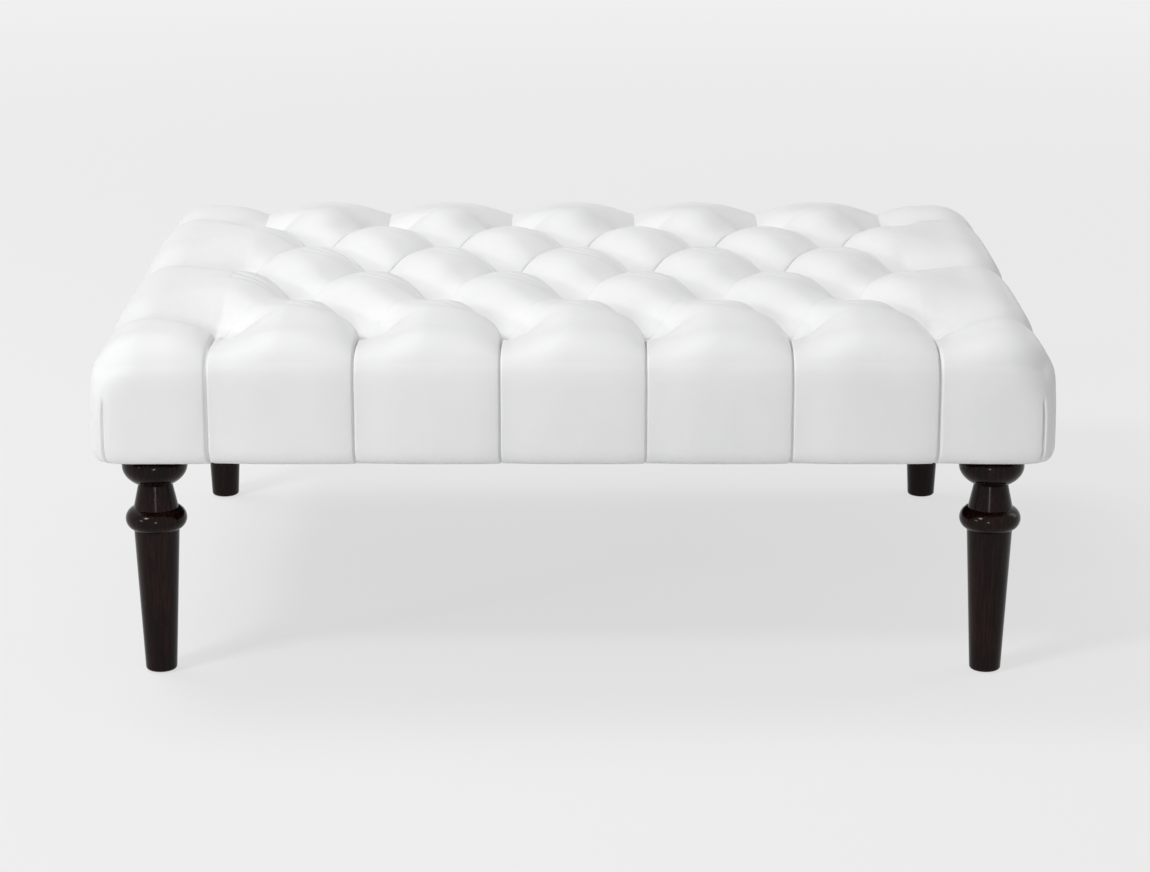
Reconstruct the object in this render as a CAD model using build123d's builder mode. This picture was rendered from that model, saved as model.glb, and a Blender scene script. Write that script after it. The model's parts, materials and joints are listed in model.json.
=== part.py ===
from build123d import *
import math
import os

# A low, wide footstool on four turned legs: a stapled cover, deep tufted in diamonds,
# over a foam block, a plywood deck and a screwed timber frame.
# Millimetres. The origin is on the floor under the middle of the stool,
# +X runs along its width, the front faces -Y and +Z is up.

# Plan
leg_spacing_x = 980.0
leg_spacing_y = 738.0
cover_overhang = 68.0
corner_radius = 46.0

# Nylon glides under the feet
glide_radius = 11.0
glide_thickness = 5.0
glide_proud = 1.5
glide_chamfer = 0.8
glide_clearance = 0.15

# Turned legs, from the foot up
foot_radius = 18.6
foot_round = 3.6
shaft_length = 174.3
shaft_top_radius = 26.7
bead_height = 26.4
bead_radius = 36.0
neck_length = 28.8
neck_bottom_radius = 26.2
neck_top_radius = 20.0
ball_radius = 38.3
ball_half_height = 26.2
ball_height = 37.8

# Hanger bolts and the tee nuts that they screw into
bolt_radius = 4.0
bolt_depth_in_leg = 34.0
bolt_stand_out = 2.0
bolt_tip_chamfer = 1.2
bolt_clearance = 0.25
nut_flange_radius = 10.5
nut_flange_thickness = 1.6
nut_barrel_radius = 5.6
nut_barrel_length = 12.0

# Layers of cloth under the frame
dust_cover_thickness = 1.2
dust_cover_inset = 22.0
hem_thickness = 2.0
hem_width = 25.0
soft_gap = 0.3

# Timber frame
rail_height = 66.0
rail_thickness = 24.0
block_size = 84.0
block_height = 40.0
block_chamfer = 34.0
stretcher_width = 45.0
stretcher_thickness = 20.0
stretcher_offset = 210.0
deck_thickness = 12.0

# Wood screws
screw_radius = 2.2
screw_head_radius = 4.2
screw_head_height = 2.4
screw_clearance = 0.1
frame_screw_length = 50.0
frame_screw_rise = 9.0
deck_screw_length = 36.0
deck_screws_per_long_side = 5
deck_screws_per_short_side = 3
stretcher_screw_pitch = 22.0

# Padding
padding_thickness = 12.0
cover_wall = 20.0
foam_thickness = 40.5
foam_top_inset = 46.0
well_top_radius = 40.0
well_bottom_radius = 9.0

# Diamond tufting: tufts stand on every second crossing of a grid of half pitches
half_pitch_x = 84.0
half_pitch_y = 146.0
grid_columns = 11
grid_rows = 5
pillow_rise = 75.5
tuft_depth = 46.0
dome_run_under = 20.0

# Outline of the border, measured in from the fullest edge and up from the deck
seam_apex_setback = 70.0
seam_apex_rise = 54.5
seam_shoulder_setback = 38.0
seam_shoulder_rise = 41.5
seam_face_setback = 12.0
seam_face_rise = 1.5
seam_bottom_setback = 14.0
crown_apex_setback = 100.0
crown_apex_rise = 78.6
crown_shoulder_setback = 38.0
crown_shoulder_rise = 62.5
crown_face_setback = 2.6
crown_face_rise = 11.5
crown_bottom_setback = 9.0
corner_lift = 14.0

# Tufting twine under the deck
twine_hole_radius = 4.5
twine_radius = 1.5
twine_sides = 6
knot_radius = 3.2
knot_height = 4.5
washer_radius = 10.0
washer_thickness = 1.6
washer_bore_radius = 2.0

# Levels worked out from the sizes above
leg_bottom = glide_proud
shaft_top = leg_bottom + shaft_length
bead_top = shaft_top + bead_height
neck_top = bead_top + neck_length
ball_start = math.acos(neck_top_radius / ball_radius)
ball_middle = neck_top + ball_half_height * math.sin(ball_start)
leg_top = neck_top + ball_height
ball_end = math.asin((leg_top - ball_middle) / ball_half_height)
cover_bottom = leg_top + dust_cover_thickness
hem_top = cover_bottom + hem_thickness
frame_bottom = hem_top + soft_gap
block_top = frame_bottom + block_height
rail_top = frame_bottom + rail_height
deck_top = rail_top + deck_thickness
foam_bottom = deck_top + soft_gap
foam_top = foam_bottom + foam_thickness
pillow_top = deck_top + pillow_rise
tuft_level = pillow_top - tuft_depth

# Half sizes in plan, from the outside in
cover_half_x = leg_spacing_x / 2 + cover_overhang
cover_half_y = leg_spacing_y / 2 + cover_overhang
pocket_half_x = cover_half_x - cover_wall
pocket_half_y = cover_half_y - cover_wall
padding_half_x = pocket_half_x - soft_gap
padding_half_y = pocket_half_y - soft_gap
rail_half_x = padding_half_x - padding_thickness - soft_gap
rail_half_y = padding_half_y - padding_thickness - soft_gap
rail_inner_x = rail_half_x - rail_thickness
rail_inner_y = rail_half_y - rail_thickness
dust_half_x = cover_half_x - dust_cover_inset
dust_half_y = cover_half_y - dust_cover_inset
first_tuft_x = -half_pitch_x * (grid_columns - 1) / 2
first_tuft_y = -half_pitch_y * (grid_rows - 1) / 2

corners = {
    "front_left": (-1, -1),
    "front_right": (1, -1),
    "back_left": (-1, 1),
    "back_right": (1, 1),
}


def grid_point(column, row):
    return (first_tuft_x + column * half_pitch_x, first_tuft_y + row * half_pitch_y)


grid = [(column, row) for column in range(grid_columns) for row in range(grid_rows)]
tufts = [grid_point(column, row) for column, row in grid if (column + row) % 2 == 0]
pillows = [grid_point(column, row) for column, row in grid if (column + row) % 2 == 1]

os.makedirs("parts", exist_ok=True)


def write(part, label):
    part.label = label
    export_step(part, f"parts/{label}.step")


def upright_plane(x, y):
    """A plane through a vertical axis: its own x is outward and its own y is height."""
    return Plane(origin=(x, y, 0), x_dir=(1, 0, 0), z_dir=(0, -1, 0))


# Legs


def make_leg(x, y):
    """One turned leg: tapered shaft, round bead, narrowing neck and an oval ball under the seat."""
    with BuildPart() as leg:
        with BuildSketch(upright_plane(x, y)):
            with BuildLine():
                foot = Polyline((0, leg_bottom), (foot_radius - foot_round, leg_bottom))
                rounding = TangentArc(foot @ 1, (foot_radius, leg_bottom + foot_round), tangent=(1, 0))
                shaft = Line(rounding @ 1, (shaft_top_radius, shaft_top))
                bead = ThreePointArc(
                    shaft @ 1,
                    (bead_radius, (shaft_top + bead_top) / 2),
                    (neck_bottom_radius, bead_top),
                )
                neck = Line(bead @ 1, (neck_top_radius, neck_top))
                ball = EllipticalCenterArc(
                    (0, ball_middle),
                    ball_radius,
                    ball_half_height,
                    -math.degrees(ball_start),
                    arc_size=math.degrees(ball_start + ball_end),
                )
                Polyline(ball @ 1, (0, leg_top), (0, leg_bottom))
            make_face()
        revolve(axis=Axis((x, y, 0), (0, 0, 1)))
        with Locations((x, y, leg_bottom)):
            Cylinder(
                glide_radius + glide_clearance,
                glide_thickness - glide_proud,
                align=(Align.CENTER, Align.CENTER, Align.MIN),
                mode=Mode.SUBTRACT,
            )
        with Locations((x, y, leg_top)):
            Cylinder(
                bolt_radius + bolt_clearance,
                bolt_depth_in_leg,
                align=(Align.CENTER, Align.CENTER, Align.MAX),
                mode=Mode.SUBTRACT,
            )
    return leg.part


def make_glide(x, y):
    """A round nylon glide let into the foot, standing a little proud of it."""
    with BuildPart(Plane(origin=(x, y, 0))) as glide:
        Cylinder(glide_radius, glide_thickness, align=(Align.CENTER, Align.CENTER, Align.MIN))
        chamfer(glide.faces().sort_by(Axis.Z)[0].edges(), glide_chamfer)
    return glide.part


def make_hanger_bolt(x, y):
    """The bolt that stands in the leg and screws up into the tee nut."""
    bolt_bottom = leg_top - bolt_depth_in_leg
    bolt_length = block_top + nut_flange_thickness + bolt_stand_out - bolt_bottom
    with BuildPart(Plane(origin=(x, y, bolt_bottom))) as bolt:
        Cylinder(bolt_radius, bolt_length, align=(Align.CENTER, Align.CENTER, Align.MIN))
        chamfer(bolt.edges().filter_by(GeomType.CIRCLE), bolt_tip_chamfer)
    return bolt.part


def make_tee_nut(x, y):
    """A tee nut: its barrel hangs in the corner block and its flange lies on top."""
    with BuildPart(Plane(origin=(x, y, block_top))) as nut:
        Cylinder(nut_flange_radius, nut_flange_thickness, align=(Align.CENTER, Align.CENTER, Align.MIN))
        Cylinder(nut_barrel_radius, nut_barrel_length, align=(Align.CENTER, Align.CENTER, Align.MAX))
        Hole(bolt_radius + bolt_clearance)
    return nut.part


for name, (side_x, side_y) in corners.items():
    leg_x = side_x * leg_spacing_x / 2
    leg_y = side_y * leg_spacing_y / 2
    write(make_leg(leg_x, leg_y), f"leg_{name}")
    write(make_glide(leg_x, leg_y), f"glide_{name}")
    write(make_hanger_bolt(leg_x, leg_y), f"hanger_bolt_{name}")
    write(make_tee_nut(leg_x, leg_y), f"tee_nut_{name}")


# Screws of the frame and the deck


def screw_form(plane, length, clearance):
    """A countersunk wood screw whose head is flush with the plane that it is driven into."""
    with BuildPart() as screw:
        with BuildSketch(plane):
            Circle(screw_radius + clearance)
        extrude(amount=-length - clearance)
        with BuildSketch(plane):
            Circle(screw_head_radius + clearance)
        with BuildSketch(plane.offset(-screw_head_height)):
            Circle(screw_radius + clearance)
        loft()
    return screw.part


def rail_face(side_y, x, z):
    """The outer face of the front or back rail at one screw."""
    return Plane(origin=(x, side_y * rail_half_y, z), x_dir=(1, 0, 0), z_dir=(0, side_y, 0))


def side_rail_face(side_x, y, z):
    """The outer face of a side rail at one screw."""
    return Plane(origin=(side_x * rail_half_x, y, z), x_dir=(0, 1, 0), z_dir=(side_x, 0, 0))


def frame_screw_planes():
    planes = []
    middle = frame_bottom + block_height / 2
    for side_x, side_y in corners.values():
        for rise in (-frame_screw_rise, frame_screw_rise):
            block_x = side_x * (rail_inner_x - block_size * 2 / 3)
            block_y = side_y * (rail_inner_y - block_size * 2 / 3)
            planes.append(rail_face(side_y, block_x, middle + rise))
            planes.append(side_rail_face(side_x, block_y, middle + rise))
    for side_x, side_y in corners.values():
        for shift in (-stretcher_screw_pitch / 2, stretcher_screw_pitch / 2):
            x = side_x * stretcher_offset + shift
            planes.append(rail_face(side_y, x, rail_top - stretcher_thickness / 2))
    return planes


def deck_screw_planes():
    line_x = rail_half_x - rail_thickness / 2
    line_y = rail_half_y - rail_thickness / 2
    spots = []
    for side in (-1, 1):
        for index in range(deck_screws_per_long_side):
            share = (2 * index + 1) / deck_screws_per_long_side - 1
            spots.append((share * line_x, side * line_y))
        for index in range(deck_screws_per_short_side):
            share = (2 * index + 1) / deck_screws_per_short_side - 1
            spots.append((side * line_x, share * line_y))
    return [Plane(origin=(x, y, deck_top)) for x, y in spots]


frame_screws = [screw_form(plane, frame_screw_length, 0) for plane in frame_screw_planes()]
frame_screw_holes = [screw_form(plane, frame_screw_length, screw_clearance) for plane in frame_screw_planes()]
deck_screws = [screw_form(plane, deck_screw_length, 0) for plane in deck_screw_planes()]
deck_screw_holes = [screw_form(plane, deck_screw_length, screw_clearance) for plane in deck_screw_planes()]
write(Compound(children=frame_screws), "frame_screws")
write(Compound(children=deck_screws), "deck_screws")


# Timber frame


def near(part, cutters):
    """The cutters whose boxes reach into the part."""
    box = part.bounding_box()
    return [cutter for cutter in cutters if box.overlaps(cutter.bounding_box())]


def make_bar(centre, size):
    """A straight timber bar with its screw holes."""
    with BuildPart() as bar:
        with Locations(centre):
            Box(*size)
        add(near(bar.part, frame_screw_holes + deck_screw_holes), mode=Mode.SUBTRACT)
    return bar.part


rail_middle = frame_bottom + rail_height / 2
rail_line_x = rail_half_x - rail_thickness / 2
rail_line_y = rail_half_y - rail_thickness / 2
for name, side in (("front", -1), ("back", 1)):
    size = (2 * rail_half_x, rail_thickness, rail_height)
    write(make_bar((0, side * rail_line_y, rail_middle), size), f"rail_{name}")
for name, side in (("left", -1), ("right", 1)):
    size = (rail_thickness, 2 * rail_inner_y, rail_height)
    write(make_bar((side * rail_line_x, 0, rail_middle), size), f"rail_{name}")
    size = (stretcher_width, 2 * rail_inner_y, stretcher_thickness)
    centre = (side * stretcher_offset, 0, rail_top - stretcher_thickness / 2)
    write(make_bar(centre, size), f"stretcher_{name}")


def make_corner_block(side_x, side_y):
    """A glued block in the corner of the rails, bored for the hanger bolt and its nut."""
    leg_spot = (side_x * leg_spacing_x / 2, side_y * leg_spacing_y / 2)
    with BuildPart() as block:
        with BuildSketch(Plane.XY.offset(frame_bottom)):
            with BuildLine():
                outer_x, outer_y = side_x * rail_inner_x, side_y * rail_inner_y
                inner_x, inner_y = outer_x - side_x * block_size, outer_y - side_y * block_size
                Polyline(
                    (outer_x, outer_y),
                    (inner_x, outer_y),
                    (inner_x, inner_y + side_y * block_chamfer),
                    (inner_x + side_x * block_chamfer, inner_y),
                    (outer_x, inner_y),
                    close=True,
                )
            make_face()
        extrude(amount=block_height)
        with Locations((*leg_spot, block_top)):
            CounterBoreHole(
                bolt_radius + bolt_clearance,
                nut_barrel_radius + bolt_clearance,
                nut_barrel_length + bolt_clearance,
            )
        add(near(block.part, frame_screw_holes), mode=Mode.SUBTRACT)
    return block.part


for name, (side_x, side_y) in corners.items():
    write(make_corner_block(side_x, side_y), f"corner_block_{name}")

with BuildPart() as deck_board:
    with BuildSketch(Plane.XY.offset(rail_top)):
        Rectangle(2 * rail_half_x, 2 * rail_half_y)
        with Locations(*tufts):
            Circle(twine_hole_radius, mode=Mode.SUBTRACT)
    extrude(amount=deck_thickness)
    add(deck_screw_holes, mode=Mode.SUBTRACT)
write(deck_board.part, "deck_board")


# Tufting twine, held under the deck by a washer and a knot

with BuildPart() as tuft_washers:
    with BuildSketch(Plane.XY.offset(rail_top)):
        with Locations(*tufts):
            RegularPolygon(washer_radius, 2 * twine_sides)
            Circle(washer_bore_radius, mode=Mode.SUBTRACT)
    extrude(amount=-washer_thickness)
write(tuft_washers.part, "tuft_washers")

knot_top = rail_top - washer_thickness
with BuildPart() as tuft_twines:
    with BuildSketch(Plane.XY.offset(deck_top)):
        with Locations(*tufts):
            RegularPolygon(twine_radius, twine_sides)
    extrude(amount=knot_top - deck_top)
    with BuildSketch(Plane.XY.offset(knot_top)):
        with Locations(*tufts):
            RegularPolygon(knot_radius, twine_sides)
    extrude(amount=-knot_height)
write(tuft_twines.part, "tuft_twines")


# Padding


def make_padding(centre, size):
    """A strip of foam glued along the outside of a rail and the edge of the deck."""
    with BuildPart() as strip:
        with Locations(centre):
            Box(*size, align=(Align.CENTER, Align.CENTER, Align.MIN))
    return strip.part


padding_height = deck_top - frame_bottom
padding_line_x = padding_half_x - padding_thickness / 2
padding_line_y = padding_half_y - padding_thickness / 2
for name, side in (("front", -1), ("back", 1)):
    size = (2 * padding_half_x, padding_thickness, padding_height)
    write(make_padding((0, side * padding_line_y, frame_bottom), size), f"edge_padding_{name}")
for name, side in (("left", -1), ("right", 1)):
    inner_length = 2 * (padding_half_y - padding_thickness)
    size = (padding_thickness, inner_length, padding_height)
    write(make_padding((side * padding_line_x, 0, frame_bottom), size), f"edge_padding_{name}")


def foam_form(clearance):
    """The foam block with its tuft wells, grown on the outside by a clearance."""
    growth = 2 * clearance
    with BuildPart() as foam:
        with BuildSketch(Plane.XY.offset(foam_bottom - clearance)):
            Rectangle(2 * (padding_half_x + growth), 2 * (padding_half_y + growth))
        with BuildSketch(Plane.XY.offset(foam_top + clearance)):
            Rectangle(
                2 * (padding_half_x - foam_top_inset + growth),
                2 * (padding_half_y - foam_top_inset + growth),
            )
        loft()
        with Locations(*[(x, y, foam_bottom - clearance) for x, y in tufts]):
            Cone(
                well_bottom_radius - growth,
                well_top_radius - growth,
                foam_thickness + 2 * clearance,
                align=(Align.CENTER, Align.CENTER, Align.MIN),
                mode=Mode.SUBTRACT,
            )
    return foam.part


write(foam_form(0), "foam_core")


# Tufted cover


def dome_section(x, peak):
    """A cut across a pillow: a parabola over the row pitch, straight down to the hem."""
    plane = Plane(origin=(x, 0, 0), x_dir=(0, 1, 0), z_dir=(1, 0, 0))
    with BuildSketch(plane) as section:
        with BuildLine():
            crown = Bezier(
                (-half_pitch_y, peak - tuft_depth),
                (0, peak + tuft_depth),
                (half_pitch_y, peak - tuft_depth),
            )
            Polyline(crown @ 1, (half_pitch_y, cover_bottom), (-half_pitch_y, cover_bottom), crown @ 0)
        make_face()
    return section.sketch


with BuildPart() as dome:
    loft([dome_section(share * half_pitch_x, pillow_top - tuft_depth * share**2) for share in (-1, 0, 1)])
    with BuildSketch(Plane.XY.offset(cover_bottom)):
        with BuildLine():
            Polyline(
                (half_pitch_x, 0),
                (0, half_pitch_y),
                (-half_pitch_x, 0),
                (0, -half_pitch_y),
                close=True,
            )
        make_face()
    extrude(amount=pillow_top - cover_bottom, mode=Mode.INTERSECT)

seam_outline = {
    "start_level": tuft_level,
    "apex": (seam_apex_setback, deck_top + seam_apex_rise),
    "shoulder": (seam_shoulder_setback, deck_top + seam_shoulder_rise),
    "face": (seam_face_setback, deck_top + seam_face_rise),
    "bottom_setback": seam_bottom_setback,
}
crown_outline = {
    "start_level": pillow_top,
    "apex": (crown_apex_setback, deck_top + crown_apex_rise),
    "shoulder": (crown_shoulder_setback, deck_top + crown_shoulder_rise),
    "face": (crown_face_setback, deck_top + crown_face_rise),
    "bottom_setback": crown_bottom_setback,
}
corner_outline = {**crown_outline, "start_level": pillow_top + corner_lift}


def border_section(plane, start, edge, outline):
    """A cut through the border, from the outermost tufts over the shoulder to the hem."""
    apex_setback, apex_level = outline["apex"]
    shoulder_setback, shoulder_level = outline["shoulder"]
    face_setback, face_level = outline["face"]
    inner_end = (start, outline["start_level"])
    apex = (edge - apex_setback, apex_level)
    with BuildSketch(plane) as section:
        with BuildLine():
            TangentArc(apex, inner_end, tangent=(-1, 0))
            top = TangentArc(apex, (edge - shoulder_setback, shoulder_level), tangent=(1, 0))
            shoulder = TangentArc(top @ 1, (edge - face_setback, face_level), tangent=top % 1)
            face = TangentArc(
                shoulder @ 1,
                (edge - outline["bottom_setback"], cover_bottom),
                tangent=shoulder % 1,
            )
            Polyline(face @ 1, (start, cover_bottom), inner_end)
        make_face()
    return section.sketch


def front_pillow(middle, middle_outline):
    """A pillow of the front border, lofted from seam to crown to seam."""
    sections = []
    for share, outline in ((-1, seam_outline), (0, middle_outline), (1, seam_outline)):
        origin = (middle + share * half_pitch_x, 0, 0)
        plane = Plane(origin=origin, x_dir=(0, -1, 0), z_dir=(-1, 0, 0))
        sections.append(border_section(plane, -first_tuft_y, cover_half_y, outline))
    with BuildPart() as pillow:
        loft(sections)
    return pillow.part


def left_pillow(middle, middle_outline):
    """A pillow of the left border, lofted from seam to crown to seam."""
    sections = []
    for share, outline in ((-1, seam_outline), (0, middle_outline), (1, seam_outline)):
        origin = (0, middle + share * half_pitch_y, 0)
        plane = Plane(origin=origin, x_dir=(-1, 0, 0), z_dir=(0, 1, 0))
        sections.append(border_section(plane, -first_tuft_x, cover_half_x, outline))
    with BuildPart() as pillow:
        loft(sections)
    return pillow.part


front_pillows = [
    front_pillow(first_tuft_x + column * half_pitch_x, crown_outline) for column in range(1, grid_columns, 2)
]
left_pillows = [
    left_pillow(first_tuft_y + row * half_pitch_y, crown_outline) for row in range(1, grid_rows, 2)
]
# A corner pillow is what a front pillow and a left pillow, each one place further out, share
with BuildPart() as corner_pillow:
    add(front_pillow(first_tuft_x - half_pitch_x, corner_outline))
    add(left_pillow(first_tuft_y - half_pitch_y, corner_outline), mode=Mode.INTERSECT)

with BuildPart() as middle_pillows:
    with Locations(*[(x, y, 0) for x, y in pillows]):
        add(dome.part)
    with BuildSketch(Plane.XY.offset(cover_bottom)):
        Rectangle(2 * (dome_run_under - first_tuft_x), 2 * (dome_run_under - first_tuft_y))
    extrude(amount=pillow_top - cover_bottom, mode=Mode.INTERSECT)

with BuildPart() as tufted_cover:
    add(middle_pillows.part)
    add(front_pillows)
    add([mirror(pillow, about=Plane.XZ) for pillow in front_pillows])
    add(left_pillows)
    add([mirror(pillow, about=Plane.YZ) for pillow in left_pillows])
    corner = corner_pillow.part
    add([corner, mirror(corner, about=Plane.XZ), mirror(corner, about=Plane.YZ)])
    add(mirror(mirror(corner, about=Plane.XZ), about=Plane.YZ))
    with BuildSketch(Plane.XY.offset(cover_bottom)):
        RectangleRounded(2 * cover_half_x, 2 * cover_half_y, corner_radius)
    extrude(amount=deck_top + crown_apex_rise - cover_bottom, mode=Mode.INTERSECT)
    with BuildSketch(Plane.XY.offset(cover_bottom)):
        Rectangle(2 * (pocket_half_x - hem_width), 2 * (pocket_half_y - hem_width))
    extrude(amount=hem_thickness, mode=Mode.SUBTRACT)
    with BuildSketch(Plane.XY.offset(hem_top)):
        Rectangle(2 * pocket_half_x, 2 * pocket_half_y)
    extrude(amount=deck_top - hem_top, mode=Mode.SUBTRACT)
    add(foam_form(soft_gap), mode=Mode.SUBTRACT)
write(tufted_cover.part, "tufted_cover")


# Dust cover stapled under the frame, pierced by the four hanger bolts

leg_spots = [(side_x * leg_spacing_x / 2, side_y * leg_spacing_y / 2) for side_x, side_y in corners.values()]
with BuildPart() as dust_cover:
    with BuildSketch(Plane.XY.offset(leg_top)):
        Rectangle(2 * dust_half_x, 2 * dust_half_y)
        with Locations(*leg_spots):
            Circle(bolt_radius + bolt_clearance, mode=Mode.SUBTRACT)
    extrude(amount=dust_cover_thickness)
write(dust_cover.part, "dust_cover")
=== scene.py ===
import json
import math
import random

import bmesh
import bpy
import numpy as np
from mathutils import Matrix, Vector


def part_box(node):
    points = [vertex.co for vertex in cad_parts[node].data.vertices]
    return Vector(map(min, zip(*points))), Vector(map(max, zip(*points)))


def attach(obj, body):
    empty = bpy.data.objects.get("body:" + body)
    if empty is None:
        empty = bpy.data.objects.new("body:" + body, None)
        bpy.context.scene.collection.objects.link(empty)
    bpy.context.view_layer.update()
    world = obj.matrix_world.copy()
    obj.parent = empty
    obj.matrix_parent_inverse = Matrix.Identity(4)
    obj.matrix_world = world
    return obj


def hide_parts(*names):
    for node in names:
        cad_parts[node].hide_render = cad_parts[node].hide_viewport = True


# Metres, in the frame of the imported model: +X along the width, the front faces -Y, +Z up.
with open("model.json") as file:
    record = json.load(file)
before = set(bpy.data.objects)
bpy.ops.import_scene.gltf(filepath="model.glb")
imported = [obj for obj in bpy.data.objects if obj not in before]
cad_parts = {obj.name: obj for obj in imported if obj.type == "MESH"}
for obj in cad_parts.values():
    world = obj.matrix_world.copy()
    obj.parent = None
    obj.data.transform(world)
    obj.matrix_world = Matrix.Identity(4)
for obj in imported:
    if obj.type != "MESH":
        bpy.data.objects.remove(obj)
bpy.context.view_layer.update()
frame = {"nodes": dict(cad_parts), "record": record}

# Camera, fitted to the outlines of the four legs in the photograph of 1150 by 872 pixels
PHOTO_WIDTH = 1150
CAMERA_DISTANCE = 4.0245
CAMERA_HEIGHT = 1.2892
CAMERA_PITCH = math.radians(15.353)
CAMERA_SHIFT_Y = 0.0016
FOCAL_PIXELS = 3245.0
AXIS_PIXEL_X = 573.2
SENSOR_WIDTH_MM = 36.0
CLIP_END = 100.0

# Tufting: tufts stand on every second crossing of a grid of half pitches
HALF_PITCH_X = 0.084
HALF_PITCH_Y = 0.146
GRID_COLUMNS = 11
GRID_ROWS = 5
FIRST_X = -HALF_PITCH_X * (GRID_COLUMNS - 1) / 2
FIRST_Y = -HALF_PITCH_Y * (GRID_ROWS - 1) / 2

# Cover mesh
STEPS_PER_PILLOW = 64
STATION_GATHER = 0.78
BORDER_STEPS = 52
WALL_STEPS = 56
HEM_STEPS = 6
HEM_RUN = 0.03

# A rise says where a change starts and how far it runs: in rows of the grid where its name says so,
# in half pillows for the creases, and in metres for all others.

# Cover form: the crown and the rounded shoulders and corners
CREST_TOP = 0.4250
CROWN_RUN = 0.078
CROWN_FALL = 0.0055
BACK_FALL = 0.003
CORNER_FALL = 0.004
SHOULDER_RUN = 0.066
SHOULDER_DROP = 0.072
SHOULDER_POWER = 2.3
CORNER_POWER = 5.0
CORNER_POWER_RISE = (0.02, 0.09)
DRAW_IN = 0.005
DRAW_IN_HEIGHT = 0.020
DRAW_ALONG = 0.011

# Cover form: tufts, pleats and the flanks of the pillows
TUFT_DEPTH = 0.0445
TUFT_EASE = 0.012
PLEAT_DEPTH = 0.0215
FRONT_PLEAT_DEPTH = 0.011
PLEAT_ROW_RISE = (0.6, 1.4)
PLEAT_SPACING = 1 / math.hypot(1 / HALF_PITCH_X, 1 / HALF_PITCH_Y)
ROUND_SHARE = 0.8
TUCK_POWER = 2.4
FLOW_POWERS = (1.8, 2.7)
FLOW_ROW_RISE = (0, 1.5)
FRONT_TUCKS = (0.2, 0.75)
FRONT_TUCK_ROW_RISE = (1.2, 1.0)
FIRST_TUCK_ROW_RISE = (0, 0.11)
SIDE_TUCK = 0.3
SIDE_TUCK_ROW_RISE = (0, 0.3)
BACK_LEFT_ROW_RISE = (0.8, 1.0)

# Cover form: the fine folds in the pleats and seams
GROOVE_DEPTH = 0.0038
GROOVE_WIDTH = 0.0011
GROOVE_ROW_RISE = (1.3, 0.8)
LIP_HEIGHT = 0.0020
LIP_PLACE = 0.0125
LIP_WIDTH = 0.0024
LIP_GROOVE_PLACE = 0.0175
LIP_GROOVE_WIDTH = 0.0016
LIP_GROOVE_SHARE = 0.7
LIP_FRONT_SHARE = 0.3
LIP_ROW_RISE = (1, 1.2)
LIP_END_SHARE = 0.85
LIP_END_FADE_SHARE = 0.4
CREASE_DEPTH = 0.0026
CREASE_WIDTH = 0.0022
CREASE_PLACE_SHARES = ((0.60, 1.0), (0.84, 0.7))
CREASE_START_RISE = (-0.75, 0.5)
CREASE_NARROWING_SHARE = 0.55
CREASE_NARROWING_RISE = (-0.3, 1.3)

# Cover form: the seams of the border and the pillows between them
SEAM_LIP_PLACE = 0.0045
SEAM_LIP_RUN = 0.04
SEAM_SHOULDER_DEPTH = 0.020
SEAM_SHOULDER_RISE = (0.09, 0.09)
SEAM_FACE_DEPTH = 0.0035
SEAM_REACH = 0.028
SEAM_REACH_POWER = 1.1
SIDE_SEAM_DEPTH = 0.009
SIDE_SEAM_REACH = 0.036
SIDE_SEAM_REACH_POWER = 0.9
BACK_GROOVE_RISE = (0.09, 0.05)
TUFT_LINE_RUN = 0.06
PLAIN_POWER = 2.2
FRONT_LOW_RISE = (0.1, 0.12)
FRONT_LOW_TUCK_POWER = 5.0
FRONT_LOW_FLOW_POWER = 4.0
SIDE_LOW_RISE = (0.015, 0.09)
SIDE_LOW_TUCK_POWER = 6.0
SIDE_LOW_FLOW_POWER = 5.0
SIDE_AWAY_RUN = 0.05

# Cover form: the corner pillows, and a short pleat beside each corner on the front and the back
CORNER_PLEAT_X = 0.5435
CORNER_PLEAT_STEP = 0.0008
CORNER_PLEAT_STEP_COUNT = 6
CORNER_PLEAT_DEPTH = 0.0060
CORNER_PLEAT_WIDTH = 0.0016
CORNER_PLEAT_RISE = (0.066, 0.02)
CORNER_REACH_X = 0.084
CORNER_REACH_Y = 0.110

# Places closer than this count as one
NEAR = 1e-7

# Steps per metre to which points are rounded, to weld those that meet
WELD_STEPS = 1e7

# How far outside the tufted field a point still belongs to it, in grid cells
FIELD_MARGIN = 1e-6


def smooth_step(value):
    value = np.clip(value, 0, 1)
    return value * value * (3 - 2 * value)


def rise(value, start, run):
    """A smooth rise from 0 to 1 that begins where the value starts and takes the run."""
    return smooth_step((value - start) / run)


def mix(first, second, share):
    return first * (1 - share) + second * share


def flowing_flank(share, power):
    """Depth share on a flank that flows out of its pleat, nearly level beside it."""
    return np.sin(np.clip(share, 0, 1) * math.pi / 2) ** power


def tucked_flank(share, power=TUCK_POWER):
    """Depth share on a flank that bulges over its pleat and drops steeply into it."""
    share = np.clip(share, 0, 1)
    return mix(share**power, 1 - np.sqrt(1 - share**power), ROUND_SHARE)


def crease(distance):
    """Depth of the narrow groove in a pleat or seam, by the distance from its line."""
    return GROOVE_DEPTH * np.exp(-((distance / GROOVE_WIDTH) ** 2))


def ridge(distance, place, width):
    return np.exp(-(((distance - place) / width) ** 2))


def left_flow(row):
    """Power of the flowing flanks: they rise most evenly from their pleats at the front."""
    return mix(*FLOW_POWERS, rise(row, *FLOW_ROW_RISE))


def left_pleat(row):
    """Depth of the pleats that run up to the right, shallowest at the front."""
    return mix(FRONT_PLEAT_DEPTH, PLEAT_DEPTH, rise(row, *PLEAT_ROW_RISE))


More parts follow.
